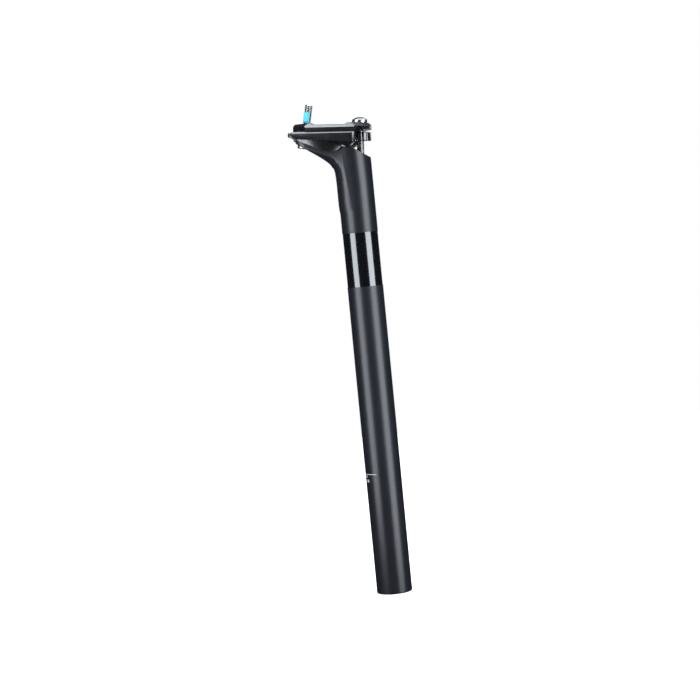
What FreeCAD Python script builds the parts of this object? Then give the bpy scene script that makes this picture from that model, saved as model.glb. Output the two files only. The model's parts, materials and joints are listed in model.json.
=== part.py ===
import FreeCAD, Part
import math
import os

# A rigid setback bicycle seatpost with a two-bolt micro-adjust saddle clamp.
# Millimetres. Origin: centre of the tube's open lower end. +Z runs up the tube,
# +X points to the front of the bicycle, +Y to its left side.

# Tube
TUBE_RADIUS = 13.6
TUBE_WALL = 2.3
BORE_LENGTH = 304.0
BORE_CONE = 6.0
TUBE_EDGE_ROUND = 0.5
SWELL = 0.65
BAND = (234.5, 275.1)
BAND_RADIUS = 13.42

# Forged head: trough for the rocker, front slope, rear arm
SETBACK = 13.2
TROUGH_HEIGHT = 353.2
TROUGH_RADIUS = 16.0
RIDGE_ANGLE = 35.1
RAMP_ANGLE = 24.1
FRONT_CORNER = (TUBE_RADIUS, 330.5)
FRONT_SLOPE_TOP = (4.5, 336.6)
FRONT_SLOPE_CROWN = (0.2, 338.95)
ARM_TIP = -43.2
ARM_TIP_THICKNESS = 1.5
ARM_UNDERSIDE_ANGLE = 36.0
ARM_UNDERSIDE_BLEND = 17.0
ARM_END_CENTRE = -33.0
ARM_END_RADIUS = 10.6
HEAD_FOOT = 290.0
TUBE_TOP = 310.0
TUB_INSET = 0.5
TUB_HALF_WIDTH = 14.1
TUB_CORNERS = [13.0, 13.4, 13.3, 12.6, 10.0, 6.0, 2.2]
TUB_MARGIN = 0.4

# Clamp plane: the saddle clamp is stored at the nose-up end of its travel
REST_TILT = 4.4
SEAM = -1.7
SEAM_GAP = 0.1
RAIL_RADIUS = 3.5
RAIL_OFFSET = 22.0

# Upper clamp plate
PLATE_HALF_LENGTH = 28.7
PLATE_CORNER = 18.0
PLATE_HALF_WIDTH = 28.0
PLATE_END_HALF_WIDTH = 12.0
PLATE_TOP = 4.9
PLATE_SIDE_TOP = 1.4
PLATE_TOP_HALF_WIDTH = 24.2
PLATE_END_UNDERSIDE = 0.7
PLATE_END_TOP = 3.9
PLATE_END_CHAMFER = 1.2
CORNER_BEVEL_ANGLE = 58.0
CORNER_BEVEL_RISE = 2.3
RECESS_DEPTH = 1.3
RECESS_REAR = -11.5
RECESS_FRONT = 11.0
RECESS_SLOPE = 2.0
RECESS_POCKET_DEPTH = 0.9
RECESS_POCKET_INSET = 2.0
RECESS_POCKET_HALF_WIDTH = 15.0
RECESS_POCKET_CORNER = 3.0

# Lower cradle
CRADLE_HALF_WIDTH = 28.7
CRADLE_FRONT = 18.0
CRADLE_RIM_CHAMFER = 1.1
CRADLE_NOSE_CHAMFER = 1.4
CRADLE_TAIL_CHAMFER = 0.8
CRADLE_BELLY_SIDE = -9.0
CRADLE_BELLY = -14.0
CRADLE_BELLY_INSET = 5.0
CRADLE_REAR_END = (-32.5, 14.0)
CRADLE_REAR_CORNER = -27.6
CRADLE_SIDE = [(-32.5, -4.9), (-23.4, -6.5), (3.3, -8.7), (10.8, -12.5), (14.5, -12.6),
               (18.2, -8.8)]
CHEEK_INNER = 14.5
ROCKER_FRONT_ANGLE = 62.0
ROCKER_TAIL_INSET = 2.0
ROCKER_HALF_WIDTH = 13.5
ROCKER_PLAN_CENTRE = -8.5
ROCKER_PLAN_LENGTH = 24.0
ROCKER_GAP = 0.05
RAMP_GAP = 0.25
CRADLE_SKIN = -7.2
REAR_SLOT = (-29.0, -9.8)
REAR_SLOT_HALF_WIDTH = 7.8
REAR_SLOT_CORNER = 2.5
WHEEL_WELL_RADIUS = 10.2

# Rear clamp bolt, low-head M6, and the half-round pieces that let it swing
BOLT_RADIUS = 3.0
REAR_BOLT_FOOT = (-36.2, 341.6)
REAR_BOLT_LEAN = 12.2
REAR_BOLT_LENGTH = 29.0
REAR_HEAD_RADIUS = 5.0
REAR_HEAD_HEIGHT = 4.2
HEX_RADIUS = 2.3
HEX_DEPTH = 2.6
REAR_SWING = 3.7
REAR_PIVOT = 0.5
REAR_WASHER_RADIUS = 6.0
REAR_WASHER_HALF_WIDTH = 5.8
ARM_POCKET_HALF_WIDTH = 6.4
ARM_POCKET = (-9.0, 7.0)
ARM_POCKET_TOP = 4.5
ARM_BOSS_TOP = 8.6
ARM_BOSS_REACH = 6.4
ARM_BOSS_FOOT = 4.3
ARM_BOSS_HALF_WIDTH = 7.3
SLOT_HALF_WIDTH = 3.35
REAR_HEAD_CHAMFER = 0.4
BOLT_TIP_CHAMFER = 0.6
PATCH_FROM = 15.9
PATCH_TO = 23.4
PATCH_THICKNESS = 0.14
PATCH_START = 78.0
PATCH_SWEEP = 230.0
NUT_RADIUS = 5.2
NUT_HALF_WIDTH = 7.0
NUT_FLAT = 0.6
NUT_BORE = 3.6
NUT_SLOT_REACH = 4.9
SEAT_END_GAP = 0.15

# Front adjuster: button-head M6, half-round washer, thumbwheel pinned to the shank
FRONT_PIVOT_ALONG = 20.45
FRONT_LEAN = 3.4
FRONT_BOLT_LENGTH = 50.0
FRONT_HEAD_RADIUS = 5.75
FRONT_HEAD_HEIGHT = 5.2
FRONT_HEAD_CROWN = 9.0
FRONT_HEX_DEPTH = 3.0
FRONT_WASHER_RADIUS = 6.0
FRONT_WASHER_HALF_WIDTH = 6.4
FRONT_WASHER_FLAT = 0.4
FRONT_WASHER_BORE = 3.08
FRONT_SLOT = (-3.5, 5.7)
FIT_GAP = 0.05
WHEEL_TOP = 6.8
WHEEL_HEIGHT = 6.5
WHEEL_RADIUS = 8.5
WHEEL_FLUTES = 12
WHEEL_FLUTE_RADIUS = 1.5
WHEEL_FLUTE_CENTRE = 9.1
WHEEL_BORE = 3.02
WHEEL_EDGE = 0.5
PIN_RADIUS = 1.0
PIN_LENGTH = 6.6
PIN_FIT = 0.02
SPOT_FACE_RADIUS = 9.4
SPOT_FACE_HEIGHT = 336.7
SPOT_FACE_BACK = 1.0
TAPPED_HOLE = 3.8
HOLE_RUNOUT = 10.0

Y_AXIS = FreeCAD.Vector(0, 1, 0)
Z_AXIS = FreeCAD.Vector(0, 0, 1)
# How far the cutters reach, and how far a shape runs past the face that trims it
REACH = 60.0
PAST = 1.0
PIVOT = (-SETBACK, TROUGH_HEIGHT)


def vec(x, z, y=0.0):
    return FreeCAD.Vector(x, y, z)


def polygon(points):
    """A closed wire through (x, z) points in the side plane."""
    corners = [vec(x, z) for x, z in points]
    return Part.makePolygon(corners + corners[:1])


def side_prism(wire, half_width):
    """A side outline made as wide as twice half_width, centred on the side plane."""
    face = Part.Face(wire)
    face.translate(FreeCAD.Vector(0, -half_width, 0))
    return face.extrude(FreeCAD.Vector(0, 2 * half_width, 0))


def plan_prism(points, low, high):
    """A plan outline of (x, y) points between two heights."""
    corners = [FreeCAD.Vector(x, y, low) for x, y in points]
    return Part.Face(Part.makePolygon(corners + corners[:1])).extrude(Z_AXIS * (high - low))


def front_prism(points, start, end):
    """A front outline of (y, z) points between two places along the clamp."""
    corners = [FreeCAD.Vector(start, y, z) for y, z in points]
    return Part.Face(Part.makePolygon(corners + corners[:1])).extrude(vec(end - start, 0))


def mirrored(points):
    """Outline points with y above 0, closed by their mirror images."""
    return points + [(x, -y) for x, y in reversed(points)]


def cross_cylinder(radius, half_width, x=0.0, z=0.0):
    return Part.makeCylinder(radius, 2 * half_width, vec(x, z, -half_width), Y_AXIS)


def upright(radius, low, high, x=0.0):
    return Part.makeCylinder(radius, high - low, vec(x, low), Z_AXIS)


def block(x_low, x_high, half_width, z_low, z_high):
    corner = vec(x_low, z_low, -half_width)
    return Part.makeBox(x_high - x_low, 2 * half_width, z_high - z_low, corner)


def slot_cutter(x_low, x_high, radius, z_low, z_high):
    """A round-ended slot along X."""
    ends = [upright(radius, z_low, z_high, x_low + radius),
            upright(radius, z_low, z_high, x_high - radius)]
    return ends[0].fuse([ends[1], block(x_low + radius, x_high - radius, radius, z_low, z_high)])


def hexagon(radius, z_low, z_high):
    points = [(radius * math.cos(math.radians(60 * k)), radius * math.sin(math.radians(60 * k)))
              for k in range(6)]
    return plan_prism(points, z_low, z_high)


def placed(shape, lean, x, z):
    """Lean a piece forward about Y, then carry it from the origin to its place."""
    shape = shape.copy()
    shape.rotate(FreeCAD.Vector(), Y_AXIS, lean)
    shape.translate(vec(x, z))
    return shape


def on_clamp(shape):
    return placed(shape, REST_TILT, *PIVOT)


def on_rear_bolt(shape):
    return placed(shape, REAR_BOLT_LEAN, *REAR_BOLT_FOOT)


def clamp_point(along, up):
    """Row coordinates of a point given in the clamp's own plane."""
    turn = math.radians(REST_TILT)
    return (PIVOT[0] + along * math.cos(turn) + up * math.sin(turn),
            PIVOT[1] - along * math.sin(turn) + up * math.cos(turn))


FRONT_PIVOT = clamp_point(FRONT_PIVOT_ALONG, PLATE_TOP)


def on_front_bolt(shape):
    return placed(shape, FRONT_LEAN, *FRONT_PIVOT)


def rear_nut_centre():
    """Where the rear bolt's axis meets the top of the upper plate."""
    slope = math.tan(math.radians(REAR_BOLT_LEAN))
    turn = math.radians(REST_TILT)
    rise_needed = PLATE_TOP
    dx = REAR_BOLT_FOOT[0] - PIVOT[0]
    dz = REAR_BOLT_FOOT[1] - PIVOT[1]
    start = dx * math.sin(turn) + dz * math.cos(turn)
    gain = slope * math.sin(turn) + math.cos(turn)
    rise = (rise_needed - start) / gain
    return (REAR_BOLT_FOOT[0] + slope * rise, REAR_BOLT_FOOT[1] + rise)


def clamp_along(point):
    """How far forward a row point lies in the clamp's own plane."""
    turn = math.radians(REST_TILT)
    return (point[0] - PIVOT[0]) * math.cos(turn) - (point[1] - PIVOT[1]) * math.sin(turn)


NUT_CENTRE = rear_nut_centre()
NUT_ALONG = clamp_along(NUT_CENTRE)


def on_trough(angle, radius=TROUGH_RADIUS):
    """A point of the trough's circle, by its angle forward of straight down."""
    turn = math.radians(angle)
    return (PIVOT[0] + radius * math.sin(turn), PIVOT[1] - radius * math.cos(turn))


def underside(margin):
    """The arm's lower edge in the side plane, moved outwards by a margin: tip, blend and back line."""
    fall = math.radians(ARM_UNDERSIDE_ANGLE)
    ramp_start = on_trough(-RAMP_ANGLE)
    tip_top = (ARM_TIP, ramp_start[1] + (ramp_start[0] - ARM_TIP) * math.tan(math.radians(RAMP_ANGLE)))
    tip_low = (ARM_TIP, tip_top[1] - ARM_TIP_THICKNESS - margin / math.cos(fall))
    rear = -TUBE_RADIUS - SWELL - margin
    corner = (rear, tip_low[1] - (rear - ARM_TIP) * math.tan(fall))
    half_turn = (math.pi / 2 - fall) / 2
    tangent = ARM_UNDERSIDE_BLEND * math.tan(half_turn)
    sag = ARM_UNDERSIDE_BLEND * (1 / math.cos(half_turn) - 1)
    toward = math.pi / 2 - half_turn
    return {
        "tip_top": tip_top,
        "tip_low": tip_low,
        "start": (corner[0] - tangent * math.cos(fall), corner[1] + tangent * math.sin(fall)),
        "mid": (corner[0] - sag * math.sin(toward), corner[1] - sag * math.cos(toward)),
        "end": (rear, corner[1] - tangent),
    }


def head_outline():
    """Side outline of the head and the top of the tube, a little full along its underside."""
    ridge = on_trough(RIDGE_ANGLE)
    ramp_start = on_trough(-RAMP_ANGLE)
    low = underside(TUB_MARGIN)
    foot = (low["end"][0], HEAD_FOOT)
    before = [ramp_start, low["tip_top"], low["tip_low"], low["start"]]
    after = [low["end"], foot, (TUBE_RADIUS, HEAD_FOOT), FRONT_CORNER, FRONT_SLOPE_TOP]
    edges = [Part.Arc(vec(*ridge), vec(*on_trough(0)), vec(*ramp_start)).toShape()]
    edges += [Part.LineSegment(vec(*p), vec(*q)).toShape() for p, q in zip(before, before[1:])]
    edges.append(Part.Arc(vec(*low["start"]), vec(*low["mid"]), vec(*low["end"])).toShape())
    edges += [Part.LineSegment(vec(*p), vec(*q)).toShape() for p, q in zip(after, after[1:])]
    edges.append(Part.Arc(vec(*FRONT_SLOPE_TOP), vec(*FRONT_SLOPE_CROWN), vec(*ridge)).toShape())
    return Part.Wire(Part.__sortEdges__(edges))


def head_plan():
    """Plan envelope of the head: the tube's round front, drawn in to a rounded rear end."""
    lean = (TUBE_RADIUS - ARM_END_RADIUS) / -ARM_END_CENTRE
    side = math.sqrt(1 - lean * lean)
    front = [FreeCAD.Vector(-lean * TUBE_RADIUS, s * side * TUBE_RADIUS, HEAD_FOOT) for s in (1, -1)]
    rear = [FreeCAD.Vector(ARM_END_CENTRE - lean * ARM_END_RADIUS, s * side * ARM_END_RADIUS, HEAD_FOOT)
            for s in (1, -1)]
    nose = FreeCAD.Vector(TUBE_RADIUS, 0, HEAD_FOOT)
    tail = FreeCAD.Vector(ARM_END_CENTRE - ARM_END_RADIUS, 0, HEAD_FOOT)
    edges = [Part.Arc(front[0], nose, front[1]).toShape(),
             Part.LineSegment(front[1], rear[1]).toShape(),
             Part.Arc(rear[1], tail, rear[0]).toShape(),
             Part.LineSegment(rear[0], front[0]).toShape()]
    return Part.Face(Part.Wire(edges)).extrude(Z_AXIS * REACH * 1.5)


def tub_section(x, z, lean, half_width, corner, depth):
    """A U-shaped wire with a round bottom, in a plane square to the arm's underside at (x, z)."""
    def at(across, inward):
        return FreeCAD.Vector(inward * math.cos(lean) + x, across, inward * math.sin(lean) + z)
    bend = corner * (1 - math.sqrt(0.5))
    left = [at(-half_width, depth), at(-half_width, corner), at(-half_width + bend, bend),
            at(-half_width + corner, 0)]
    right = [at(half_width - corner, 0), at(half_width - bend, bend), at(half_width, corner),
             at(half_width, depth)]
    return Part.Wire([Part.LineSegment(left[0], left[1]).toShape(),
                      Part.Arc(left[1], left[2], left[3]).toShape(),
                      Part.LineSegment(left[3], right[0]).toShape(),
                      Part.Arc(right[0], right[1], right[2]).toShape(),
                      Part.LineSegment(right[2], right[3]).toShape(),
                      Part.LineSegment(right[3], left[0]).toShape()])


def head_tub():
    """Rounds the head below: the tube's half-round back runs into the arm's flatter underside."""
    under = underside(0.0)
    start, end = under["start"], under["end"]
    fall = math.radians(ARM_UNDERSIDE_ANGLE)
    centre = (end[0] - ARM_UNDERSIDE_BLEND, end[1])
    inner = TUBE_RADIUS - TUB_INSET
    outer = TUBE_RADIUS + TUB_INSET
    sections = [(-inner, HEAD_FOOT - PAST, 0.0, inner), (-outer, TUBE_TOP, 0.0, TUB_HALF_WIDTH)]
    for part in (0.0, 0.5, 1.0):
        lean = part * (math.pi / 2 - fall)
        sections.append((centre[0] + ARM_UNDERSIDE_BLEND * math.cos(lean),
                         centre[1] + ARM_UNDERSIDE_BLEND * math.sin(lean), lean, TUB_HALF_WIDTH))
    arm = (start[0] - ARM_TIP) / math.cos(fall)
    for part in (0.5, 1.1):
        sections.append((start[0] - part * arm * math.cos(fall), start[1] + part * arm * math.sin(fall),
                         math.pi / 2 - fall, TUB_HALF_WIDTH))
    wires = [tub_section(*section, corner, REACH) for section, corner in zip(sections, TUB_CORNERS)]
    return Part.makeLoft(wires, True, False)


def seatpost_body():
    head = side_prism(head_outline(), TUBE_RADIUS + 2 * PAST).common([head_plan()]).common([head_tub()])
    tube = upright(TUBE_RADIUS, 0, TUBE_TOP)
    rim = [e for e in tube.Edges if e.CenterOfMass.z < 1 and e.Length > 80]
    tube = tube.makeFillet(TUBE_EDGE_ROUND, rim)
    boss = on_rear_bolt(block(-ARM_BOSS_REACH, ARM_BOSS_REACH, ARM_BOSS_HALF_WIDTH,
                              ARM_BOSS_FOOT, ARM_BOSS_TOP))
    body = tube.fuse([head, boss])
    bore_radius = TUBE_RADIUS - TUBE_WALL
    bore = upright(bore_radius, -PAST, BORE_LENGTH).fuse(
        Part.makeCone(bore_radius, BOLT_RADIUS, BORE_CONE, vec(0, BORE_LENGTH), Z_AXIS))
    seat = cross_cylinder(REAR_WASHER_RADIUS + FIT_GAP, ARM_POCKET_HALF_WIDTH, 0, REAR_PIVOT)
    pocket = seat.fuse(block(*ARM_POCKET, ARM_POCKET_HALF_WIDTH, -ARM_BOSS_TOP, ARM_POCKET_TOP))
    swing_room = ARM_BOSS_TOP * math.tan(math.radians(REAR_SWING))
    slot = slot_cutter(-SLOT_HALF_WIDTH, SLOT_HALF_WIDTH + swing_room, SLOT_HALF_WIDTH, 0, ARM_BOSS_TOP + 8)
    hole = on_front_bolt(upright(TAPPED_HOLE, -FRONT_BOLT_LENGTH - HOLE_RUNOUT, 0))
    spot_x = FRONT_PIVOT[0] - SPOT_FACE_BACK
    spot = upright(SPOT_FACE_RADIUS, SPOT_FACE_HEIGHT, SPOT_FACE_HEIGHT + REACH, spot_x)
    band = upright(TUBE_RADIUS + PAST, *BAND).cut(upright(BAND_RADIUS, *BAND))
    return body.cut([bore, band, on_rear_bolt(pocket), on_rear_bolt(slot), hole, spot])


def rail_grooves():
    """Both rail grooves, along the clamp plane."""
    return [Part.makeCylinder(RAIL_RADIUS, 2 * REACH, FreeCAD.Vector(-REACH, s * RAIL_OFFSET, SEAM),
                              FreeCAD.Vector(1, 0, 0)) for s in (-1, 1)]


def plate_side():
    """Side outline of the upper plate: a tapered front end and a shallow recess in the top."""
    floor = PLATE_TOP - RECESS_DEPTH
    end_inner = PLATE_HALF_LENGTH - PLATE_END_CHAMFER
    lower = [(-PLATE_HALF_LENGTH, SEAM), (PLATE_CORNER, SEAM),
             (PLATE_HALF_LENGTH, PLATE_END_UNDERSIDE)]
    upper = [(PLATE_HALF_LENGTH, PLATE_END_TOP), (end_inner, PLATE_TOP),
             (RECESS_FRONT + RECESS_SLOPE, PLATE_TOP), (RECESS_FRONT, floor), (RECESS_REAR, floor),
             (RECESS_REAR - RECESS_SLOPE, PLATE_TOP), (-end_inner, PLATE_TOP),
             (-PLATE_HALF_LENGTH, PLATE_END_TOP)]
    return polygon(lower + upper)


def corner_bevels():
    """Wedges that carry the side chamfer round the plate's four slanted corners."""
    run = PLATE_HALF_LENGTH - PLATE_CORNER
    fall = PLATE_HALF_WIDTH - PLATE_END_HALF_WIDTH
    heading = math.degrees(math.atan2(fall, run))
    cutters = []
    for end in (1, -1):
        for side in (1, -1):
            wedge = Part.makeBox(2 * REACH, REACH, REACH, FreeCAD.Vector(-REACH, 0, 0))
            wedge.rotate(FreeCAD.Vector(), FreeCAD.Vector(1, 0, 0), CORNER_BEVEL_ANGLE)
            wedge.rotate(FreeCAD.Vector(), Z_AXIS, -heading)
            wedge.translate(FreeCAD.Vector(PLATE_CORNER, PLATE_HALF_WIDTH, CORNER_BEVEL_RISE))
            if end < 0:
                wedge = wedge.mirror(FreeCAD.Vector(), FreeCAD.Vector(1, 0, 0))
            if side < 0:
                wedge = wedge.mirror(FreeCAD.Vector(), Y_AXIS)
            cutters.append(wedge)
    return cutters


def upper_clamp():
    """The plate over the saddle rails, built flat in the clamp's own plane."""
    quarter = [(-PLATE_HALF_LENGTH, PLATE_END_HALF_WIDTH), (-PLATE_CORNER, PLATE_HALF_WIDTH),
               (PLATE_CORNER, PLATE_HALF_WIDTH), (PLATE_HALF_LENGTH, PLATE_END_HALF_WIDTH)]
    half = [(PLATE_HALF_WIDTH, SEAM), (PLATE_HALF_WIDTH, PLATE_SIDE_TOP), (PLATE_TOP_HALF_WIDTH, PLATE_TOP)]
    across = half + [(-y, z) for y, z in reversed(half)]
    plate = plan_prism(mirrored(quarter), SEAM - PAST, PLATE_TOP + PAST)
    plate = plate.common(side_prism(plate_side(), PLATE_HALF_WIDTH + PAST))
    plate = plate.common(front_prism(across, -REACH, REACH))
    plate = plate.cut(corner_bevels())
    floor = PLATE_TOP - RECESS_DEPTH - RECESS_POCKET_DEPTH
    pocket = block(RECESS_REAR + RECESS_POCKET_INSET, RECESS_FRONT - RECESS_POCKET_INSET,
                   RECESS_POCKET_HALF_WIDTH, floor, PLATE_TOP + PAST)
    pocket = pocket.makeFillet(RECESS_POCKET_CORNER, [e for e in pocket.Edges if e.BoundBox.ZLength > 1])
    nut_seat = cross_cylinder(NUT_RADIUS + FIT_GAP, NUT_HALF_WIDTH + SEAT_END_GAP, NUT_ALONG, PLATE_TOP)
    nut_slot = slot_cutter(NUT_ALONG - NUT_SLOT_REACH, NUT_ALONG + NUT_SLOT_REACH, SLOT_HALF_WIDTH,
                           SEAM - PAST, PLATE_TOP)
    washer_seat = cross_cylinder(FRONT_WASHER_RADIUS + FIT_GAP, FRONT_WASHER_HALF_WIDTH + SEAT_END_GAP,
                                 FRONT_PIVOT_ALONG, PLATE_TOP)
    screw_slot = slot_cutter(FRONT_PIVOT_ALONG + FRONT_SLOT[0], FRONT_PIVOT_ALONG + FRONT_SLOT[1],
                             SLOT_HALF_WIDTH, SEAM - PAST, PLATE_TOP)
    cutters = [pocket, nut_seat, nut_slot, washer_seat, screw_slot] + rail_grooves()
    return on_clamp(plate.cut(cutters))


def rocker():
    """The boat-shaped keel that rides in the head's trough."""
    radius = TROUGH_RADIUS - ROCKER_GAP
    slope = RAMP_ANGLE - REST_TILT
    turn = math.radians(slope)
    start = (-radius * math.sin(turn), -radius * math.cos(turn))
    back = CRADLE_REAR_END[0] + ROCKER_TAIL_INSET
    lift = (RAMP_GAP - ROCKER_GAP) / math.cos(turn)
    ramp_end = (back, start[1] + (start[0] - back) * math.tan(turn) + lift)
    front_angle = math.radians(ROCKER_FRONT_ANGLE)
    front = (radius * math.sin(front_angle), -radius * math.cos(front_angle))
    edges = [Part.Arc(vec(*front), vec(0, -radius), vec(*start)).toShape()]
    for a, b in ((start, ramp_end), (ramp_end, (back, CRADLE_SKIN + 2)),
                 ((back, CRADLE_SKIN + 2), (front[0], CRADLE_SKIN + 2)),
                 ((front[0], CRADLE_SKIN + 2), front)):
        edges.append(Part.LineSegment(vec(*a), vec(*b)).toShape())
    keel = side_prism(Part.Wire(Part.__sortEdges__(edges)), ROCKER_HALF_WIDTH)
    oval = Part.Ellipse(FreeCAD.Vector(ROCKER_PLAN_CENTRE, 0, -REACH / 2), ROCKER_PLAN_LENGTH,
                        ROCKER_HALF_WIDTH).toShape()
    return keel.common(Part.Face(Part.Wire(oval)).extrude(Z_AXIS * REACH))


def lower_cradle():
    """The tray under the saddle rails with its rocker, built in the clamp's own plane."""
    top = SEAM - SEAM_GAP
    nose = CRADLE_SIDE[-1][0]
    tail = CRADLE_REAR_END[0]
    quarter = [CRADLE_REAR_END, (CRADLE_REAR_CORNER, CRADLE_HALF_WIDTH),
               (nose - CRADLE_NOSE_CHAMFER, CRADLE_HALF_WIDTH),
               (nose, CRADLE_HALF_WIDTH - CRADLE_NOSE_CHAMFER)]
    outline = CRADLE_SIDE + [(CRADLE_FRONT, top), (tail + CRADLE_TAIL_CHAMFER, top),
                             (tail, top - CRADLE_TAIL_CHAMFER)]
    tray = side_prism(polygon(outline), CRADLE_HALF_WIDTH)
    tray = tray.common(plan_prism(mirrored(quarter), -REACH, REACH))
    rim = CRADLE_HALF_WIDTH - CRADLE_RIM_CHAMFER
    belly = CRADLE_HALF_WIDTH - CRADLE_BELLY_INSET
    half = [(rim, top), (CRADLE_HALF_WIDTH, top - CRADLE_RIM_CHAMFER),
            (CRADLE_HALF_WIDTH, CRADLE_BELLY_SIDE), (belly, CRADLE_BELLY)]
    across = half + [(-y, z) for y, z in reversed(half)]
    tray = tray.common(front_prism(across, -REACH, REACH))
    between_cheeks = block(-REACH, REACH, CHEEK_INNER, -REACH, CRADLE_SKIN)
    body = tray.cut(between_cheeks).fuse(rocker())
    bolt_slot = block(REAR_SLOT[0], REAR_SLOT[1], REAR_SLOT_HALF_WIDTH, -REACH, 0)
    corners = [e for e in bolt_slot.Edges if e.BoundBox.ZLength > 10]
    bolt_slot = bolt_slot.makeFillet(REAR_SLOT_CORNER, corners)
    well = upright(WHEEL_WELL_RADIUS, -REACH, 0, FRONT_PIVOT_ALONG).fuse(
        block(FRONT_PIVOT_ALONG, REACH, WHEEL_WELL_RADIUS, -REACH, 0))
    return on_clamp(body.cut([bolt_slot, well] + rail_grooves()).removeSplitter())


def half_round(radius, half_width, flat, keep_above):
    """A half-round block: a cross cylinder cut flat, keeping the part above or below."""
    shape = cross_cylinder(radius, half_width)
    low, high = (-REACH, flat) if keep_above else (flat, REACH)
    return shape.cut(block(-REACH, REACH, REACH, low, high))


def rear_bolt():
    """Low-head cap bolt, head down, with its shank up along the bolt axis."""
    head = upright(REAR_HEAD_RADIUS, 0, REAR_HEAD_HEIGHT)
    foot = [e for e in head.Edges if e.CenterOfMass.z < 0.1 and e.Length > 20]
    head = head.makeChamfer(REAR_HEAD_CHAMFER, foot)
    shank = upright(BOLT_RADIUS, REAR_HEAD_HEIGHT - PAST, REAR_HEAD_HEIGHT + REAR_BOLT_LENGTH)
    tip = REAR_HEAD_HEIGHT + REAR_BOLT_LENGTH
    rim = [e for e in shank.Edges if e.CenterOfMass.z > tip - 0.1 and e.Length > 15]
    shank = shank.makeChamfer(BOLT_TIP_CHAMFER, rim)
    return on_rear_bolt(head.fuse(shank).cut(hexagon(HEX_RADIUS, -PAST, HEX_DEPTH)))


def rear_bolt_threadlock_patch():
    """The nylon patch baked on the bolt's thread, most of the way round."""
    low = REAR_HEAD_HEIGHT + PATCH_FROM
    high = REAR_HEAD_HEIGHT + PATCH_TO
    outer = Part.makeCylinder(BOLT_RADIUS + PATCH_THICKNESS, high - low, vec(0, low), Z_AXIS, PATCH_SWEEP)
    patch = outer.cut(upright(BOLT_RADIUS, low - PAST, high + PAST))
    patch.rotate(FreeCAD.Vector(), Z_AXIS, PATCH_START)
    return on_rear_bolt(patch)


def rear_swivel_washer():
    """Half-round washer between the bolt's head and the arm's seat."""
    flat = REAR_HEAD_HEIGHT + FIT_GAP - REAR_PIVOT
    washer = half_round(REAR_WASHER_RADIUS, REAR_WASHER_HALF_WIDTH, flat, True)
    washer.translate(vec(0, REAR_PIVOT))
    return on_rear_bolt(washer.cut(upright(BOLT_RADIUS + FIT_GAP, 0, REACH)))


def rear_clamp_nut():
    """Half-round nut that the rear bolt screws into, let into the plate's top."""
    nut = half_round(NUT_RADIUS, NUT_HALF_WIDTH, -NUT_FLAT, False)
    nut = nut.cut(upright(NUT_BORE, -REACH, REACH))
    return placed(nut, REAR_BOLT_LEAN, *NUT_CENTRE)


def front_bolt():
    """Button-head adjuster, head up, its shank down into the head of the post."""
    base = -FRONT_WASHER_FLAT + FIT_GAP
    head = upright(FRONT_HEAD_RADIUS, base, base + FRONT_HEAD_HEIGHT)
    crown = Part.makeSphere(FRONT_HEAD_CROWN, vec(0, base + FRONT_HEAD_HEIGHT - FRONT_HEAD_CROWN))
    head = head.common(crown)
    shank = upright(BOLT_RADIUS, -FRONT_BOLT_LENGTH, base + PAST)
    rim = [e for e in shank.Edges if e.CenterOfMass.z < -FRONT_BOLT_LENGTH + 0.1 and e.Length > 15]
    shank = shank.makeChamfer(BOLT_TIP_CHAMFER, rim)
    socket = hexagon(HEX_RADIUS, base + FRONT_HEAD_HEIGHT - FRONT_HEX_DEPTH, REACH)
    pin_hole = thumbwheel_pin_shape(PIN_RADIUS + PIN_FIT)
    return on_front_bolt(head.fuse(shank).cut([socket, pin_hole]))


def front_swivel_washer():
    """Half-round washer under the button head, let into the plate's top."""
    washer = half_round(FRONT_WASHER_RADIUS, FRONT_WASHER_HALF_WIDTH, -FRONT_WASHER_FLAT, False)
    return on_front_bolt(washer.cut(upright(FRONT_WASHER_BORE, -REACH, REACH)))


def thumbwheel_pin_shape(radius):
    """The cross pin, from the bottom of one flute through the shank."""
    middle = -WHEEL_TOP - WHEEL_HEIGHT / 2
    return Part.makeCylinder(radius, 2 * PIN_LENGTH, vec(-PIN_LENGTH, middle), FreeCAD.Vector(1, 0, 0))


def thumbwheel_pin():
    return on_front_bolt(thumbwheel_pin_shape(PIN_RADIUS))


def front_thumbwheel():
    """Fluted finger wheel, pinned to the adjuster's shank under the plate."""
    top = -WHEEL_TOP
    wheel = upright(WHEEL_RADIUS, top - WHEEL_HEIGHT, top)
    rims = [e for e in wheel.Edges if e.Length > 40 and not e.BoundBox.ZLength]
    wheel = wheel.makeChamfer(WHEEL_EDGE, rims)
    flutes = []
    for k in range(WHEEL_FLUTES):
        turn = 2 * math.pi * (k + 0.5) / WHEEL_FLUTES
        centre = FreeCAD.Vector(WHEEL_FLUTE_CENTRE * math.cos(turn), WHEEL_FLUTE_CENTRE * math.sin(turn),
                                top - WHEEL_HEIGHT - PAST)
        flutes.append(Part.makeCylinder(WHEEL_FLUTE_RADIUS, WHEEL_HEIGHT + 2 * PAST, centre, Z_AXIS))
    bore = upright(WHEEL_BORE, -REACH, 0)
    return on_front_bolt(wheel.cut(flutes + [bore, thumbwheel_pin_shape(PIN_RADIUS + PIN_FIT)]))


PIECES = {
    "seatpost_body": seatpost_body,
    "lower_cradle": lower_cradle,
    "upper_clamp": upper_clamp,
    "rear_bolt": rear_bolt,
    "rear_bolt_threadlock_patch": rear_bolt_threadlock_patch,
    "rear_swivel_washer": rear_swivel_washer,
    "rear_clamp_nut": rear_clamp_nut,
    "front_bolt": front_bolt,
    "front_swivel_washer": front_swivel_washer,
    "front_thumbwheel": front_thumbwheel,
    "thumbwheel_pin": thumbwheel_pin,
}

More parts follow.
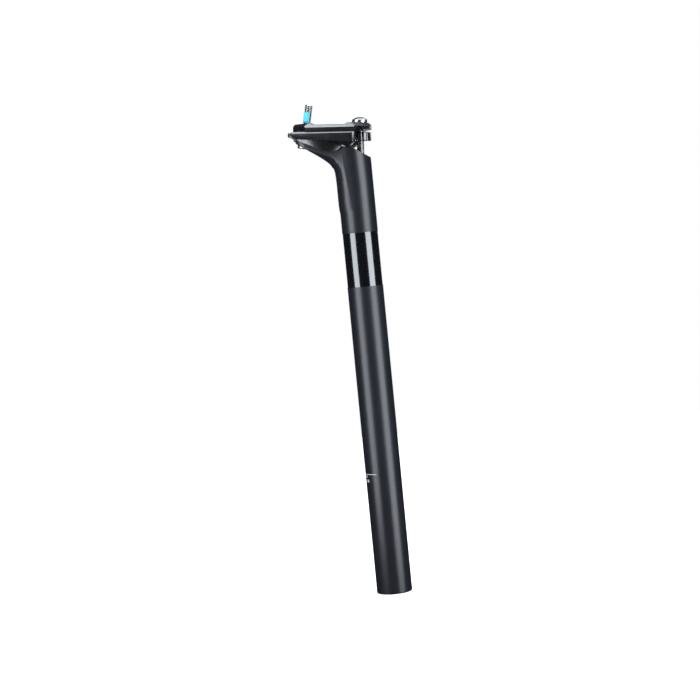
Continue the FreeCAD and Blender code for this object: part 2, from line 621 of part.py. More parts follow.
os.makedirs("parts", exist_ok=True)
for name, make in PIECES.items():
    shape = make()
    shape.exportStep(f"parts/{name}.step")
    box = shape.BoundBox
    print(f"{name}: {len(shape.Solids)} solid, {shape.Volume / 1000:.2f} cm3, valid {shape.isValid()}, "
          f"x {box.XMin:.1f}..{box.XMax:.1f}  z {box.ZMin:.1f}..{box.ZMax:.1f}")
print("front pivot", FRONT_PIVOT, "rear nut centre", NUT_CENTRE)
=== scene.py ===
# %% [markdown]
# A rigid setback seatpost with a two-bolt saddle clamp, finished as it would leave the factory.
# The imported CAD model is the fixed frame: it says where every piece is and what moves with what.
# This lesson gives each piece its finish, and cuts the threads and prints the marks that the
# CAD model leaves plain.

# %% Load the frame
import json
import math

import bmesh
import bpy
from mathutils import Matrix, Vector


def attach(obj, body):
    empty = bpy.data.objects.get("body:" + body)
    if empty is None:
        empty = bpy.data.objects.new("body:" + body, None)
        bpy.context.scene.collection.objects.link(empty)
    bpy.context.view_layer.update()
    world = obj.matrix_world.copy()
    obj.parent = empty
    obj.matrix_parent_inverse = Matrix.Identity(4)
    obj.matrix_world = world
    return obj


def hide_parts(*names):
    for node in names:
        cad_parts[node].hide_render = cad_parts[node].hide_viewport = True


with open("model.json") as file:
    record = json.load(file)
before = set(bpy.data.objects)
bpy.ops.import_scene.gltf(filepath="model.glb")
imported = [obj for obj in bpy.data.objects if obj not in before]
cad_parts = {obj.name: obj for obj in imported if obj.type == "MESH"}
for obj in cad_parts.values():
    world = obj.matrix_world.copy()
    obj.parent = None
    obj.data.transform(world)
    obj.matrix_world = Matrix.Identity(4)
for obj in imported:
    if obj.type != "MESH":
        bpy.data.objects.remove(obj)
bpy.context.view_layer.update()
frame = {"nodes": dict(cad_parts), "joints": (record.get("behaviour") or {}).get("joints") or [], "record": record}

# %% [markdown]
# Sizes are thought of in millimetres, and Blender works in metres, so one value turns one into the
# other. A joint of the frame gives the line that a bolt turns about, so nothing is placed by eye.

# %% Units, joints and places
MM = 0.001
JOINTS = {joint["name"]: joint for joint in frame["joints"]}
TUBE_RADIUS = next(m for m in frame["record"]["mounts"] if m["name"] == "post")["dims"]["r_mm"]
print("tube radius", TUBE_RADIUS, "mm,", len(JOINTS), "joints")

# %% [markdown]
# Colours are picked as sRGB hex values, as a painter's chart gives them. Shaders count in linear
# light, so one function turns a hex value into that.


# %% Colour from a chart
def chart(code):
    """An sRGB hex value, such as "2A3B4C", as a linear colour with full alpha."""
    parts = [int(code[k:k + 2], 16) / 255 for k in (0, 2, 4)]
    light = [p / 12.92 if p <= 0.04045 else ((p + 0.055) / 1.055) ** 2.4 for p in parts]
    return (*light, 1.0)


# %% [markdown]
# Every material and every Geometry Nodes tree is built from nodes. One small function adds a node,
# sets it up and links it, so that each line below reads as one step of the recipe.


# %% Add a node
def feed(tree, node, inputs):
    """Fills a node's inputs. A socket is linked to its input, and any other value is set."""
    for key, value in inputs.items():
        socket = node.inputs[key]
        if isinstance(value, bpy.types.NodeSocket):
            tree.links.new(value, socket)
        else:
            socket.default_value = value


def add(tree, kind, settings=None, inputs=None):
    """Adds one node, sets it up and fills its inputs."""
    node = tree.nodes.new(kind)
    for name, value in (settings or {}).items():
        setattr(node, name, value)
    feed(tree, node, inputs or {})
    return node


def arithmetic(tree):
    """Returns sums(operation, *values), which adds one step of arithmetic to this tree."""
    def sums(operation, *values):
        return add(tree, "ShaderNodeMath", {"operation": operation},
                   dict(enumerate(values))).outputs[0]
    return sums


# %% [markdown]
# The finishes below share four steps: a cloudy pattern, a value spread over a range, a blend of two
# colours, and a relief that only the shading sees.


# %% Steps that the materials share
def start_material(name):
    """A new material, as (material, node tree, Principled shader, object coordinates)."""
    material = bpy.data.materials.new(name)
    material.use_nodes = True
    tree = material.node_tree
    shader = tree.nodes["Principled BSDF"]
    place = tree.nodes.new("ShaderNodeTexCoord").outputs["Object"]
    return material, tree, shader, place


def per_metre(size_mm):
    """The scale of a pattern whose features are this many millimetres apart."""
    return 1 / (size_mm * MM)


def cloudy(tree, place, size_mm, detail):
    """Noise with features of about this size, as a value from 0 to 1."""
    return add(tree, "ShaderNodeTexNoise", None,
               {"Vector": place, "Scale": per_metre(size_mm), "Detail": detail}).outputs[0]


def spread(tree, share, low, high):
    """Turns a value from 0 to 1 into one from low to high."""
    return add(tree, "ShaderNodeMapRange", None, {0: share, 3: low, 4: high}).outputs[0]


def blend(tree, share, first, second):
    """A colour that is this share of the way from the first colour to the second."""
    return add(tree, "ShaderNodeMix", {"data_type": "RGBA"},
               {0: share, 6: first, 7: second}).outputs[2]


def relief(tree, height, strength, depth_mm):
    """The shading of a surface that a height from 0 to 1 raises by up to this depth."""
    return add(tree, "ShaderNodeBump", None,
               {"Strength": strength, "Distance": depth_mm * MM, "Height": height}).outputs[0]


# %% [markdown]
# The post is forged and drawn aluminium, shot blasted and then anodised black. Blasting leaves a
# fine even grit that spreads a highlight into a soft band. The dye sits in a layer of clear
# aluminium oxide, so the shader is a dark body under a clear skin with the oxide's IOR, and not a
# bare metal. The grit's pits hide part of that skin, so the blasted part mirrors less of it. One
# ring was masked, turned a little smaller and polished before the dye, and there the same black
# turns into a mirror. The grit is really 0.1 mm: it is drawn at 0.4 mm, because finer would not
# show.

# %% Shot-blasted and polished black anodise
BAND_LOW, BAND_HIGH = 234.5 * MM, 275.1 * MM
OXIDE_IOR = 1.77


def blasted_black_anodise():
    material, tree, shader, place = start_material("blasted_black_anodise")
    sums = arithmetic(tree)
    height = add(tree, "ShaderNodeSeparateXYZ", inputs={0: place}).outputs["Z"]
    band = sums("MULTIPLY", sums("GREATER_THAN", height, BAND_LOW),
                sums("LESS_THAN", height, BAND_HIGH))
    batch = cloudy(tree, place, size_mm=22, detail=3.0)
    grit = cloudy(tree, place, size_mm=0.4, detail=2.0)
    dye = blend(tree, batch, chart("0D0E13"), chart("12131A"))
    rough = add(tree, "ShaderNodeMix", {"data_type": "FLOAT"},
                {0: band, 2: spread(tree, grit, 0.29, 0.37), 3: spread(tree, batch, 0.10, 0.14)})
    blasted = sums("MULTIPLY", grit, sums("SUBTRACT", 1.0, band))
    feed(tree, shader, {
        "Base Color": blend(tree, band, dye, chart("040507")),
        "Specular IOR Level": spread(tree, band, 0.21, 0.5),
        "Roughness": rough.outputs[0],
        "Normal": relief(tree, blasted, strength=0.35, depth_mm=0.02),
        "IOR": OXIDE_IOR})
    return material


POST_FINISH = blasted_black_anodise()
print("made", POST_FINISH.name)

# %% [markdown]
# The clamp's two halves are forged, milled and tumbled before they are dyed. Tumbling rounds the
# edges and leaves a satin face, so the flats look almost black and the rounded edges catch the
# lights as thin bright lines. The cutter left faint lines 3.1 mm apart: a Wave texture turns
# through 20 radians per unit, so one wave is 2 pi / 20 / 100 of a metre long at a scale of 100.


# %% Tumbled black anodise
CUTTER_SCALE = 100.0


def tumbled_black_anodise():
    material, tree, shader, place = start_material("tumbled_black_anodise")
    cloud = cloudy(tree, place, size_mm=6, detail=4.0)
    cutter = add(tree, "ShaderNodeTexWave", {"bands_direction": "X"},
                 {"Vector": place, "Scale": CUTTER_SCALE, "Distortion": 0.6, "Detail": 1.0})
    feed(tree, shader, {
        "Base Color": blend(tree, cloud, chart("050608"), chart("0A0B0E")),
        "Roughness": spread(tree, cloud, 0.24, 0.34),
        "Normal": relief(tree, cutter.outputs["Fac"], strength=0.12, depth_mm=0.01),
        "IOR": OXIDE_IOR})
    return material


CLAMP_FINISH = tumbled_black_anodise()
print("made", CLAMP_FINISH.name)

# %% [markdown]
# The finger wheel is turned bar, dyed black without blasting, so it stays bright. Small clouds of
# uneven roughness, 2.5 mm apart, spread its highlights a little.


# %% Bright black anodise
def bright_black_anodise():
    material, tree, shader, place = start_material("bright_black_anodise")
    cloud = cloudy(tree, place, size_mm=2.5, detail=3.0)
    feed(tree, shader, {
        "Base Color": blend(tree, cloud, chart("0A0B0E"), chart("101216")),
        "Roughness": spread(tree, cloud, 0.14, 0.24),
        "IOR": OXIDE_IOR})
    return material


WHEEL_FINISH = bright_black_anodise()
print("made", WHEEL_FINISH.name)

# %% [markdown]
# The bolts, washers and nut are stainless steel: cold headed, thread rolled and barrel polished.
# It is a bare metal, so the shader's Metallic is 1 and its IOR is left alone. A fine uneven
# roughness, with features 1.2 mm apart, keeps the reflections from looking like chrome.


# %% Rolled stainless steel
def rolled_stainless():
    material, tree, shader, place = start_material("rolled_stainless")
    cloud = cloudy(tree, place, size_mm=1.2, detail=4.0)
    feed(tree, shader, {
        "Base Color": blend(tree, cloud, chart("8F8D8B"), chart("B4B4B6")),
        "Roughness": spread(tree, cloud, 0.24, 0.36),
        "Metallic": 1.0})
    return material


STEEL_FINISH = rolled_stainless()
print("made", STEEL_FINISH.name)

# %% [markdown]
# The blue patch is nylon powder, melted onto the hot thread so that the bolt can't shake loose. It
# is matt and slightly grainy, with grains of about 0.3 mm.


# %% Fused nylon
def fused_nylon():
    material, tree, shader, place = start_material("fused_nylon")
    grains = cloudy(tree, place, size_mm=0.3, detail=3.0)
    feed(tree, shader, {
        "Base Color": blend(tree, grains, chart("178FCB"), chart("3DB4E6")),
        "Normal": relief(tree, grains, strength=0.5, depth_mm=0.04),
        "Roughness": 0.55})
    return material


PATCH_FINISH = fused_nylon()
print("made", PATCH_FINISH.name)

# %% [markdown]
# The insertion marks are white ink, pad printed on the tube and baked. The layer is uneven, so it
# is a little grey where it is thin.


# %% Pad-printed ink
def printed_ink():
    material, tree, shader, place = start_material("pad_printed_ink")
    cover = cloudy(tree, place, size_mm=0.8, detail=2.0)
    feed(tree, shader, {
        "Base Color": blend(tree, cover, chart("77777C"), chart("97979A")),
        "Roughness": 0.6})
    return material


INK_FINISH = printed_ink()
print("made", INK_FINISH.name)

# %% [markdown]
# A CAD mesh has knife-sharp edges, and no made thing has. An edge that is rounded by a few tenths
# of a millimetre catches a line of light, which is most of what makes small black parts readable.
# So each forged or turned piece is a copy of its CAD node, welded, with its flat faces cleaned up,
# and its sharp edges rounded by a Bevel modifier. The copy then stands for the node.


# %% A welded copy with rounded edges
SAME_POINT = 0.002 * MM
FLAT_DEGREES = 0.3
SHARP_DEGREES = 32


def welded(node):
    """A bmesh copy of a CAD node, with its doubled corners merged and its flat faces made whole."""
    bm = bmesh.new()
    bm.from_mesh(frame["nodes"][node].data)
    for layer in list(bm.loops.layers.uv):
        bm.loops.layers.uv.remove(layer)
    bmesh.ops.remove_doubles(bm, verts=bm.verts, dist=SAME_POINT)
    bmesh.ops.dissolve_limit(bm, angle_limit=math.radians(FLAT_DEGREES),
                             verts=bm.verts, edges=bm.edges)
    return bm


def as_object(bm, name, material):
    """Writes a bmesh to a new smooth-shaded object of one material."""
    mesh = bpy.data.meshes.new(name)
    bm.to_mesh(mesh)
    bm.free()
    mesh.materials.append(material)
    mesh.polygons.foreach_set("use_smooth", [True] * len(mesh.polygons))
    piece = bpy.data.objects.new(name, mesh)
    bpy.context.scene.collection.objects.link(piece)
    return piece


def settled(piece, sharp_degrees=SHARP_DEGREES):
    """Turns a piece and its modifiers into one plain mesh."""
    evaluated = piece.evaluated_get(bpy.context.evaluated_depsgraph_get())
    mesh = bpy.data.meshes.new_from_object(evaluated)
    piece.modifiers.clear()
    piece.data = mesh
    if sharp_degrees:
        mesh.set_sharp_from_angle(angle=math.radians(sharp_degrees))
    return piece


def rounded(piece, round_mm, segments=2, flat_faces=True):
    """Rounds a piece's sharp edges. With flat faces, only the rounded edges look curved."""
    bevel = piece.modifiers.new("rounded_edges", "BEVEL")
    bevel.width = round_mm * MM
    bevel.segments = segments
    bevel.limit_method = "ANGLE"
    bevel.angle_limit = math.radians(SHARP_DEGREES)
    bevel.use_clamp_overlap = True
    bevel.harden_normals = flat_faces
    return settled(piece, sharp_degrees=0)


def stands_for(piece, node, body):
    """Lets a piece take its CAD node's place, on that node's body, and hides the node."""
    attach(piece, body)
    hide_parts(node)
    print(piece.name, "stands for", node, "with", len(piece.data.polygons), "faces")
    return piece


# %% [markdown]
# The post's forged edges are rounded a little more, as a forging's are. Most of it is curved, so
# its shading runs smoothly over every face, and not just over the rounded edges.

# %% The post
post = as_object(welded("seatpost_body"), "post_blasted_and_dyed", POST_FINISH)
rounded(post, round_mm=0.4, segments=3, flat_faces=False)
stands_for(post, "seatpost_body", "post")

# %% [markdown]
# The clamp's halves and the wheel take the rounded copy as it is. The half-round washers and the
# nut are small and nearly hidden, so they keep their CAD mesh and only get the steel.

# %% Clamp halves, wheel and small steel parts
cradle = as_object(welded("lower_cradle"), "cradle_tumbled_and_dyed", CLAMP_FINISH)
rounded(cradle, round_mm=0.3)
stands_for(cradle, "lower_cradle", "cradle")
plate = as_object(welded("upper_clamp"), "plate_tumbled_and_dyed", CLAMP_FINISH)
rounded(plate, round_mm=0.35)
stands_for(plate, "upper_clamp", "plate")
wheel = as_object(welded("front_thumbwheel"), "finger_wheel_turned", WHEEL_FINISH)
rounded(wheel, round_mm=0.12)
stands_for(wheel, "front_thumbwheel", "front_adjuster")
for node in ("rear_swivel_washer", "rear_clamp_nut", "front_swivel_washer", "thumbwheel_pin"):
    slots = frame["nodes"][node].data.materials
    slots.clear()
    slots.append(STEEL_FINISH)

# %% [markdown]
# A rolled thread follows one rule: the wall's radius goes up and down with the height minus the
# turn. So it suits Geometry Nodes. The tree takes a closed cylinder with many rings, works out
# where each point lies in the thread's cycle, and pulls it in by that much of the thread's depth.
# A triangle wave that is made steeper and then cut off gives the flat crests and roots. A cone of
# 45 degrees at the tip makes the chamfer that lets the bolt start in its nut.


# %% The thread tree
FLANK_STEEPNESS, CREST_CUT = 1.35, 0.2


def new_tree(name, inputs):
    """A Geometry Nodes tree with these named inputs, given as {name: (socket kind, value)}."""
    tree = bpy.data.node_groups.new(name, "GeometryNodeTree")
    for label, (kind, value) in inputs.items():
        socket = tree.interface.new_socket(label, in_out="INPUT", socket_type=kind)
        if value is not None:
            socket.default_value = value
    tree.interface.new_socket("Geometry", in_out="OUTPUT", socket_type="NodeSocketGeometry")
    return tree, tree.nodes.new("NodeGroupInput").outputs


def point_spot(tree):
    """The X, Y and Z of each point, as sockets."""
    place = tree.nodes.new("GeometryNodeInputPosition").outputs[0]
    return add(tree, "ShaderNodeSeparateXYZ", inputs={0: place}).outputs


def end_tree(tree, geometry, material):
    """Makes the geometry real, gives it its material and ends the tree with it."""
    real = add(tree, "GeometryNodeRealizeInstances", inputs={"Geometry": geometry})
    dressed = add(tree, "GeometryNodeSetMaterial", None,
                  {"Geometry": real.outputs[0], "Material": material})
    add(tree, "NodeGroupOutput", None, {0: dressed.outputs[0]})
    return tree


def thread_tree():
    tree, given = new_tree("rolled_thread", {
        "Crest radius": ("NodeSocketFloat", 3.0 * MM),
        "Pitch": ("NodeSocketFloat", 1.0 * MM),
        "Depth": ("NodeSocketFloat", 0.6 * MM),
        "Length": ("NodeSocketFloat", 20 * MM),
        "Rings": ("NodeSocketInt", 200),
        "Sides": ("NodeSocketInt", 40),
        "Finish": ("NodeSocketMaterial", None),
    })
    sums = arithmetic(tree)
    bar = add(tree, "GeometryNodeMeshCylinder", {"fill_type": "NGON"},
              {"Vertices": given["Sides"], "Side Segments": given["Rings"],
               "Radius": given["Crest radius"], "Depth": given["Length"]})
    spot = point_spot(tree)
    turn = sums("DIVIDE", sums("ARCTAN2", spot["Y"], spot["X"]), 2 * math.pi)
    cycle = sums("FRACT", sums("SUBTRACT", sums("DIVIDE", spot["Z"], given["Pitch"]), turn))
    ramp = sums("ABSOLUTE", sums("SUBTRACT", sums("MULTIPLY", cycle, 2.0), 1.0))
    steep = sums("SUBTRACT", sums("MULTIPLY", ramp, FLANK_STEEPNESS), CREST_CUT)
    flank = add(tree, "ShaderNodeClamp", None, {0: steep})
    cut = sums("MULTIPLY", flank.outputs[0], given["Depth"])
    threaded = sums("SUBTRACT", given["Crest radius"], cut)
    root = sums("SUBTRACT", given["Crest radius"], given["Depth"])
    to_tip = sums("SUBTRACT", sums("DIVIDE", given["Length"], 2.0), spot["Z"])
    radius = sums("MINIMUM", threaded, sums("ADD", root, to_tip))
    share = sums("DIVIDE", radius, given["Crest radius"])
    moved = add(tree, "ShaderNodeCombineXYZ", None,
                {"X": sums("MULTIPLY", spot["X"], share), "Y": sums("MULTIPLY", spot["Y"], share),
                 "Z": spot["Z"]})
    rolled = add(tree, "GeometryNodeSetPosition", None,
                 {"Geometry": bar.outputs["Mesh"], "Position": moved.outputs[0]})
    return end_tree(tree, rolled.outputs[0], given["Finish"])


THREAD = thread_tree()
print("thread tree with", len(THREAD.nodes), "nodes")


# %% [markdown]
# A tree only describes a mesh. So it is run once on an empty object, and the mesh that comes out is
# kept as a plain one, without the modifier.


# %% Run a tree and keep its mesh
def grown(tree, name, values):
    """Runs a tree on an empty mesh with these inputs, and returns the plain mesh that it makes."""
    piece = bpy.data.objects.new(name, bpy.data.meshes.new(name))
    bpy.context.scene.collection.objects.link(piece)
    modifier = piece.modifiers.new(name, "NODES")
    modifier.node_group = tree
    for item in tree.interface.items_tree:
        if item.name in values:
            modifier[item.identifier] = values[item.name]
    mesh = settled(piece).data
    mesh.name = name
    bpy.data.objects.remove(piece)
    return mesh


# %% [markdown]
# A bolt is its CAD head with a thread for a shank. The frame's joint gives the line that the bolt
# turns about. The CAD copy is cut square to that line just past the head and closed, and the thread
# is laid along the line from inside the head to the CAD tip, so the bolt keeps its exact length.


# %% Bolts with rolled threads
HEAD_ROUND_MM = 0.15
THREAD_IN_HEAD = 0.3 * MM
THREAD_SHARP_DEGREES = 50


def along_joint(joint_name):
    """A joint's point and direction, and the matrix that lays an upright mesh along it."""
    joint = JOINTS[joint_name]
    point, way = Vector(joint["pos_m"]), Vector(joint["axis"]).normalized()
    return point, way, way.to_track_quat("Z", "Y").to_matrix().to_4x4()


def threaded_bolt(node, joint_name, name, head_mm,
                  radius_mm=3.0, pitch_mm=1.0, depth_mm=0.58, rings_per_mm=12):
    """A bolt with its CAD head, which is head_mm long, and a rolled thread for the rest of it."""
    point, way, lay = along_joint(joint_name)
    bm = welded(node)
    reach = [(v.co - point).dot(way) for v in bm.verts]
    head_end = min(reach) + head_mm * MM
    tip = max(reach)
    everything = list(bm.verts) + list(bm.edges) + list(bm.faces)
    bmesh.ops.bisect_plane(bm, geom=everything, plane_co=point + way * head_end, plane_no=way,
                           clear_outer=True)
    bmesh.ops.holes_fill(bm, edges=[e for e in bm.edges if e.is_boundary])
    head = rounded(as_object(bm, name, STEEL_FINISH), HEAD_ROUND_MM)
    start = head_end - THREAD_IN_HEAD
    length = tip - start
    thread = grown(THREAD, name + "_thread", {
        "Crest radius": radius_mm * MM, "Pitch": pitch_mm * MM, "Depth": depth_mm * MM,
        "Length": length, "Rings": round(length / MM * rings_per_mm), "Finish": STEEL_FINISH})
    thread.transform(Matrix.Translation(point + way * (start + length / 2)) @ lay)
    both = bmesh.new()
    both.from_mesh(head.data)
    both.from_mesh(thread)
    both.to_mesh(head.data)
    both.free()
    head.data.set_sharp_from_angle(angle=math.radians(THREAD_SHARP_DEGREES))
    return head


rear_bolt = threaded_bolt("rear_bolt", "rear_bolt_turn", "rear_bolt_rolled", head_mm=4.6)
stands_for(rear_bolt, "rear_bolt", "rear_screw")
front_bolt = threaded_bolt("front_bolt", "adjuster_turn", "front_bolt_rolled", head_mm=8.0)
stands_for(front_bolt, "front_bolt", "front_adjuster")

# %% [markdown]
# The nylon patch fills the thread's roots on most of one side of the rear bolt. It is a sleeve that
# goes part of the way round, a little thicker in the middle, where the powder fell. The CAD patch
# gives its two ends and its middle direction.


# %% The nylon patch
EDGE_SHARE = 8
SUNK_MM = 0.05


def patch_sleeve(node, joint_name, name, inner_mm, outer_mm, ripple_mm, sweep_degrees,
                 across=40, along=48):
    """A closed sleeve part of the way round a bolt. It thins out in 1/8 of its width and length."""
    point, way, lay = along_joint(joint_name)
    to_bolt = (Matrix.Translation(point) @ lay).inverted()
    seen = [to_bolt @ v.co for v in frame["nodes"][node].data.vertices]
    low, high = min(p.z for p in seen), max(p.z for p in seen)
    middle = math.atan2(sum(p.y for p in seen), sum(p.x for p in seen))
    bm = bmesh.new()

    def ring_point(i, j, outside):
        share, rise = i / across, j / along
        turn = middle + math.radians(sweep_degrees) * (share - 0.5)
        feather = min(1.0, EDGE_SHARE * min(share, 1 - share), EDGE_SHARE * min(rise, 1 - rise))
        height = low + (high - low) * rise
        wave = ripple_mm * math.cos(2 * math.pi * (height / MM - turn / (2 * math.pi)))
        skin = inner_mm + (outer_mm + wave - inner_mm) * feather ** 0.5
        radius = (skin if outside else inner_mm - SUNK_MM) * MM
        return bm.verts.new((radius * math.cos(turn), radius * math.sin(turn), height))

    skins = [[[ring_point(i, j, outside) for i in range(across + 1)] for j in range(along + 1)]
             for outside in (True, False)]
    for j in range(along):
        for i in range(across):
            for k, skin in enumerate(skins):
                corners = [skin[j][i], skin[j][i + 1], skin[j + 1][i + 1], skin[j + 1][i]]
                bm.faces.new(corners if k == 0 else corners[::-1])
    outer, inner = skins
    for j in range(along):
        bm.faces.new([outer[j + 1][0], inner[j + 1][0], inner[j][0], outer[j][0]])
        bm.faces.new([outer[j][-1], inner[j][-1], inner[j + 1][-1], outer[j + 1][-1]])
    for i in range(across):
        bm.faces.new([outer[0][i], inner[0][i], inner[0][i + 1], outer[0][i + 1]])
        bm.faces.new([outer[-1][i + 1], inner[-1][i + 1], inner[-1][i], outer[-1][i]])
    bmesh.ops.recalc_face_normals(bm, faces=bm.faces)
    bmesh.ops.transform(bm, matrix=Matrix.Translation(point) @ lay, verts=bm.verts)
    return as_object(bm, name, PATCH_FINISH)


patch = patch_sleeve("rear_bolt_threadlock_patch", "rear_bolt_turn", "nylon_patch_fused",
                     inner_mm=2.7, outer_mm=3.12, ripple_mm=0.05, sweep_degrees=230)
stands_for(patch, "rear_bolt_threadlock_patch", "rear_screw")

# %% [markdown]
# The insertion marks show how far the post has to go into the frame. They are one long line and two
# rows of short bars under it. A row of bars that follows a curved wall is another rule, so a tree
# makes it: it sets boxes out along a straight line, and then rolls the whole strip round the tube.


# %% The printed-marks tree
def marks_tree():
    tree, given = new_tree("printed_row", {
        "Wall radius": ("NodeSocketFloat", 13.6 * MM),
        "Count": ("NodeSocketInt", 1),
        "Spacing": ("NodeSocketFloat", 2 * MM),
        "Mark size": ("NodeSocketVector", (1 * MM, 0.02 * MM, 1 * MM)),
        "Steps": ("NodeSocketInt", 2),
        "Height": ("NodeSocketFloat", 0.0),
        "Finish": ("NodeSocketMaterial", None),
    })
    sums = arithmetic(tree)
    bar = add(tree, "GeometryNodeMeshCube", None,
              {"Size": given["Mark size"], "Vertices X": given["Steps"]})
    row_length = sums("MULTIPLY", sums("SUBTRACT", given["Count"], 1), given["Spacing"])
    first = add(tree, "ShaderNodeCombineXYZ", None, {"X": sums("MULTIPLY", row_length, -0.5)})
    step = add(tree, "ShaderNodeCombineXYZ", None, {"X": given["Spacing"]})
    row = add(tree, "GeometryNodeMeshLine", {"mode": "OFFSET"},
              {"Count": given["Count"], "Start Location": first.outputs[0],
               "Offset": step.outputs[0]})
    placed = add(tree, "GeometryNodeInstanceOnPoints", None,
                 {"Points": row.outputs[0], "Instance": bar.outputs["Mesh"]})
    strip = add(tree, "GeometryNodeRealizeInstances", None, {"Geometry": placed.outputs[0]})
    spot = point_spot(tree)
    turn = sums("DIVIDE", spot["X"], given["Wall radius"])
    radius = sums("SUBTRACT", given["Wall radius"], spot["Y"])
    rolled = add(tree, "ShaderNodeCombineXYZ", None,
                 {"X": sums("MULTIPLY", sums("MULTIPLY", radius, sums("COSINE", turn)), -1.0),
                  "Y": sums("MULTIPLY", radius, sums("SINE", turn)),
                  "Z": sums("ADD", spot["Z"], given["Height"])})
    bent = add(tree, "GeometryNodeSetPosition", None,
               {"Geometry": strip.outputs[0], "Position": rolled.outputs[0]})
    return end_tree(tree, bent.outputs[0], given["Finish"])


MARKS = marks_tree()
LINE_SWEEP = math.radians(141)
INK = 0.03 * MM
INK_LIFT_MM = 0.01
MARK_SHARP_DEGREES = 40
ROWS = [
    {"Count": 1, "Mark size": (LINE_SWEEP * TUBE_RADIUS * MM, INK, 0.5 * MM), "Steps": 72,
     "Height": 92.3 * MM},
    {"Count": 9, "Spacing": 1.7 * MM, "Mark size": (0.7 * MM, INK, 1.5 * MM), "Height": 90.6 * MM},
    {"Count": 7, "Spacing": 2.75 * MM, "Mark size": (1.5 * MM, INK, 2.1 * MM), "Height": 87.2 * MM},
]
WALL = {"Wall radius": (TUBE_RADIUS + INK_LIFT_MM) * MM, "Finish": INK_FINISH}
ink_mesh = bmesh.new()
for number, row in enumerate(ROWS):
    ink_mesh.from_mesh(grown(MARKS, f"printed_row_{number}", {**WALL, **row}))
bmesh.ops.recalc_face_normals(ink_mesh, faces=ink_mesh.faces)
marks = as_object(ink_mesh, "insertion_marks_printed", INK_FINISH)
marks.data.set_sharp_from_angle(angle=math.radians(MARK_SHARP_DEGREES))
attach(marks, "post")
print("insertion marks with", len(marks.data.polygons), "faces")

# %% [markdown]
# The camera is a long lens, 1.3 m away on the post's right side. It looks down by 4 degrees, and
# is rolled so that the upright post leans in view. Three angles give the way it looks, and its own
# right and up are worked out from them.

# %% Camera
LENS_MM, SENSOR_MM = 90, 36
TURN, DROP, ROLL = math.radians(5.0), math.radians(3.99), math.radians(-5.57)
CAMERA_PLACE = Vector((99.3, -1320.8, 279.7)) * MM
ahead = Vector((-math.sin(TURN) * math.cos(DROP), math.cos(TURN) * math.cos(DROP), -math.sin(DROP)))
level_right = Vector((math.cos(TURN), math.sin(TURN), 0.0))
level_up = level_right.cross(ahead)
right = level_right * math.cos(ROLL) + level_up * math.sin(ROLL)
up = level_up * math.cos(ROLL) - level_right * math.sin(ROLL)
camera_data = bpy.data.cameras.new("long_lens")
camera_data.lens = LENS_MM
camera_data.sensor_width = SENSOR_MM
camera = bpy.data.objects.new("long_lens", camera_data)
bpy.context.scene.collection.objects.link(camera)
camera.matrix_world = Matrix((
    (right.x, up.x, -ahead.x, CAMERA_PLACE.x),
    (right.y, up.y, -ahead.y, CAMERA_PLACE.y),
    (right.z, up.z, -ahead.z, CAMERA_PLACE.z),
    (0, 0, 0, 1)))
bpy.context.scene.camera = camera
print("camera at", [round(x, 3) for x in CAMERA_PLACE])

# %% [markdown]
# Black parts are lit by what they reflect. Two tall softboxes stand either side of the camera, and
# each draws one soft stripe down the tube. Two hang overhead for the clamp's upper edges, and a
# wide one stands low behind for the faces seen at a shallow angle. Everything else that gloss could
# pick up is dark, as in a studio with black flags, while the backdrop and floor stay pale.

# %% Softboxes
TO_CAMERA = TURN
CENTRE = Vector((0.0, 0.0, 0.19))
COOL_WHITE = (0.88, 0.93, 1.0)


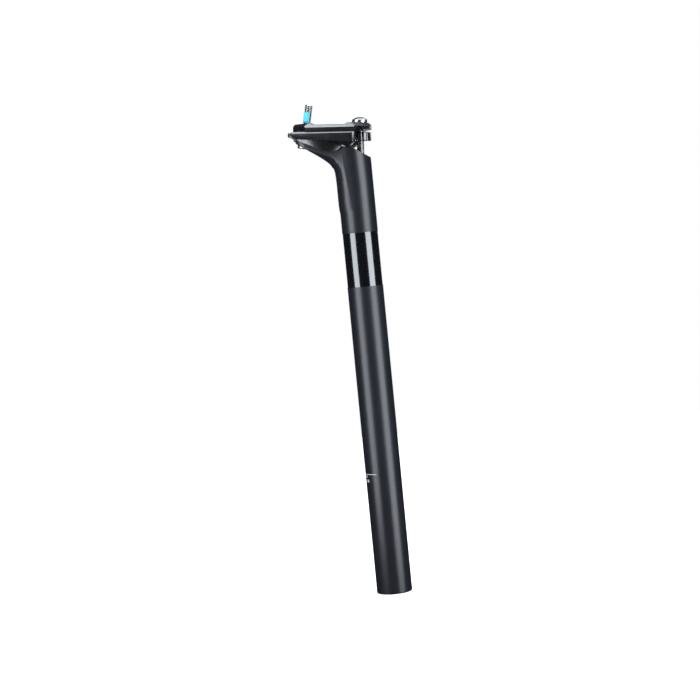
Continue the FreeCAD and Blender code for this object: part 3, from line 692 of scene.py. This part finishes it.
def softbox(name, side_degrees, lift_degrees, distance, wide, tall, radiance, raised=0.0):
    """An area light aimed at the post. Side is to the camera's right, and lift is above level."""
    side, lift = TO_CAMERA + math.radians(side_degrees), math.radians(lift_degrees)
    way = Vector((math.sin(side) * math.cos(lift), -math.cos(side) * math.cos(lift),
                  math.sin(lift)))
    light = bpy.data.lights.new(name, "AREA")
    light.shape = "RECTANGLE"
    light.color = COOL_WHITE
    light.size, light.size_y = wide, tall
    light.energy = radiance * math.pi * wide * tall
    box = bpy.data.objects.new(name, light)
    bpy.context.scene.collection.objects.link(box)
    box.location = CENTRE + Vector((0, 0, raised)) + way * distance
    box.rotation_euler = way.to_track_quat("Z", "Y").to_euler()
    box.visible_camera = False
    print(name, "at", [round(x, 2) for x in box.location])
    return box


softbox("softbox_left", side_degrees=-53, lift_degrees=0, distance=0.8,
        wide=0.495, tall=0.84, radiance=7.8, raised=0.13)
softbox("softbox_right", side_degrees=51, lift_degrees=0, distance=0.8,
        wide=0.54, tall=0.96, radiance=8.4, raised=0.07)
softbox("softbox_overhead", side_degrees=0, lift_degrees=86, distance=0.9,
        wide=0.7, tall=0.5, radiance=8.0)
softbox("softbox_high_right", side_degrees=124, lift_degrees=50, distance=1.0,
        wide=0.55, tall=0.45, radiance=5.0)
softbox("softbox_behind", side_degrees=180, lift_degrees=8, distance=1.4,
        wide=0.9, tall=0.5, radiance=1.6)

# %% [markdown]
# The backdrop is plain white paper. Gloss must not see it, or the black finish would turn grey, so
# the world gives its white only to the camera and to soft light, and near black to reflections. The
# floor is the same paper, and it catches the post's soft shadow.


# %% Backdrop and floor
WHITE_TO_GLOSS = 0.03
FLOOR_DROP = 0.1 * MM


def backdrop():
    world = bpy.data.worlds.new("paper_backdrop")
    world.use_nodes = True
    bpy.context.scene.world = world
    tree = world.node_tree
    rays = tree.nodes.new("ShaderNodeLightPath").outputs
    paper = tree.nodes["Background"]
    paper.inputs["Color"].default_value = (1, 1, 1, 1)
    feed(tree, paper, {"Strength": spread(tree, rays["Is Glossy Ray"], 1.0, WHITE_TO_GLOSS)})
    return world


def paper_floor(radius, sides=96):
    material, tree, shader, place = start_material("paper")
    fibre = cloudy(tree, place, size_mm=3, detail=4.0)
    feed(tree, shader, {
        "Base Color": blend(tree, fibre, chart("F6F6F6"), chart("FDFDFD")),
        "Roughness": 0.9})
    bm = bmesh.new()
    bmesh.ops.create_circle(bm, cap_ends=True, segments=sides, radius=radius)
    floor = as_object(bm, "paper_floor", material)
    floor.data.transform(Matrix.Translation((0, 0, -FLOOR_DROP)))
    floor.visible_glossy = False
    return floor


backdrop()
paper_floor(radius=1.0)
bpy.context.scene.view_settings.view_transform = "Standard"
print("backdrop and floor are in place")
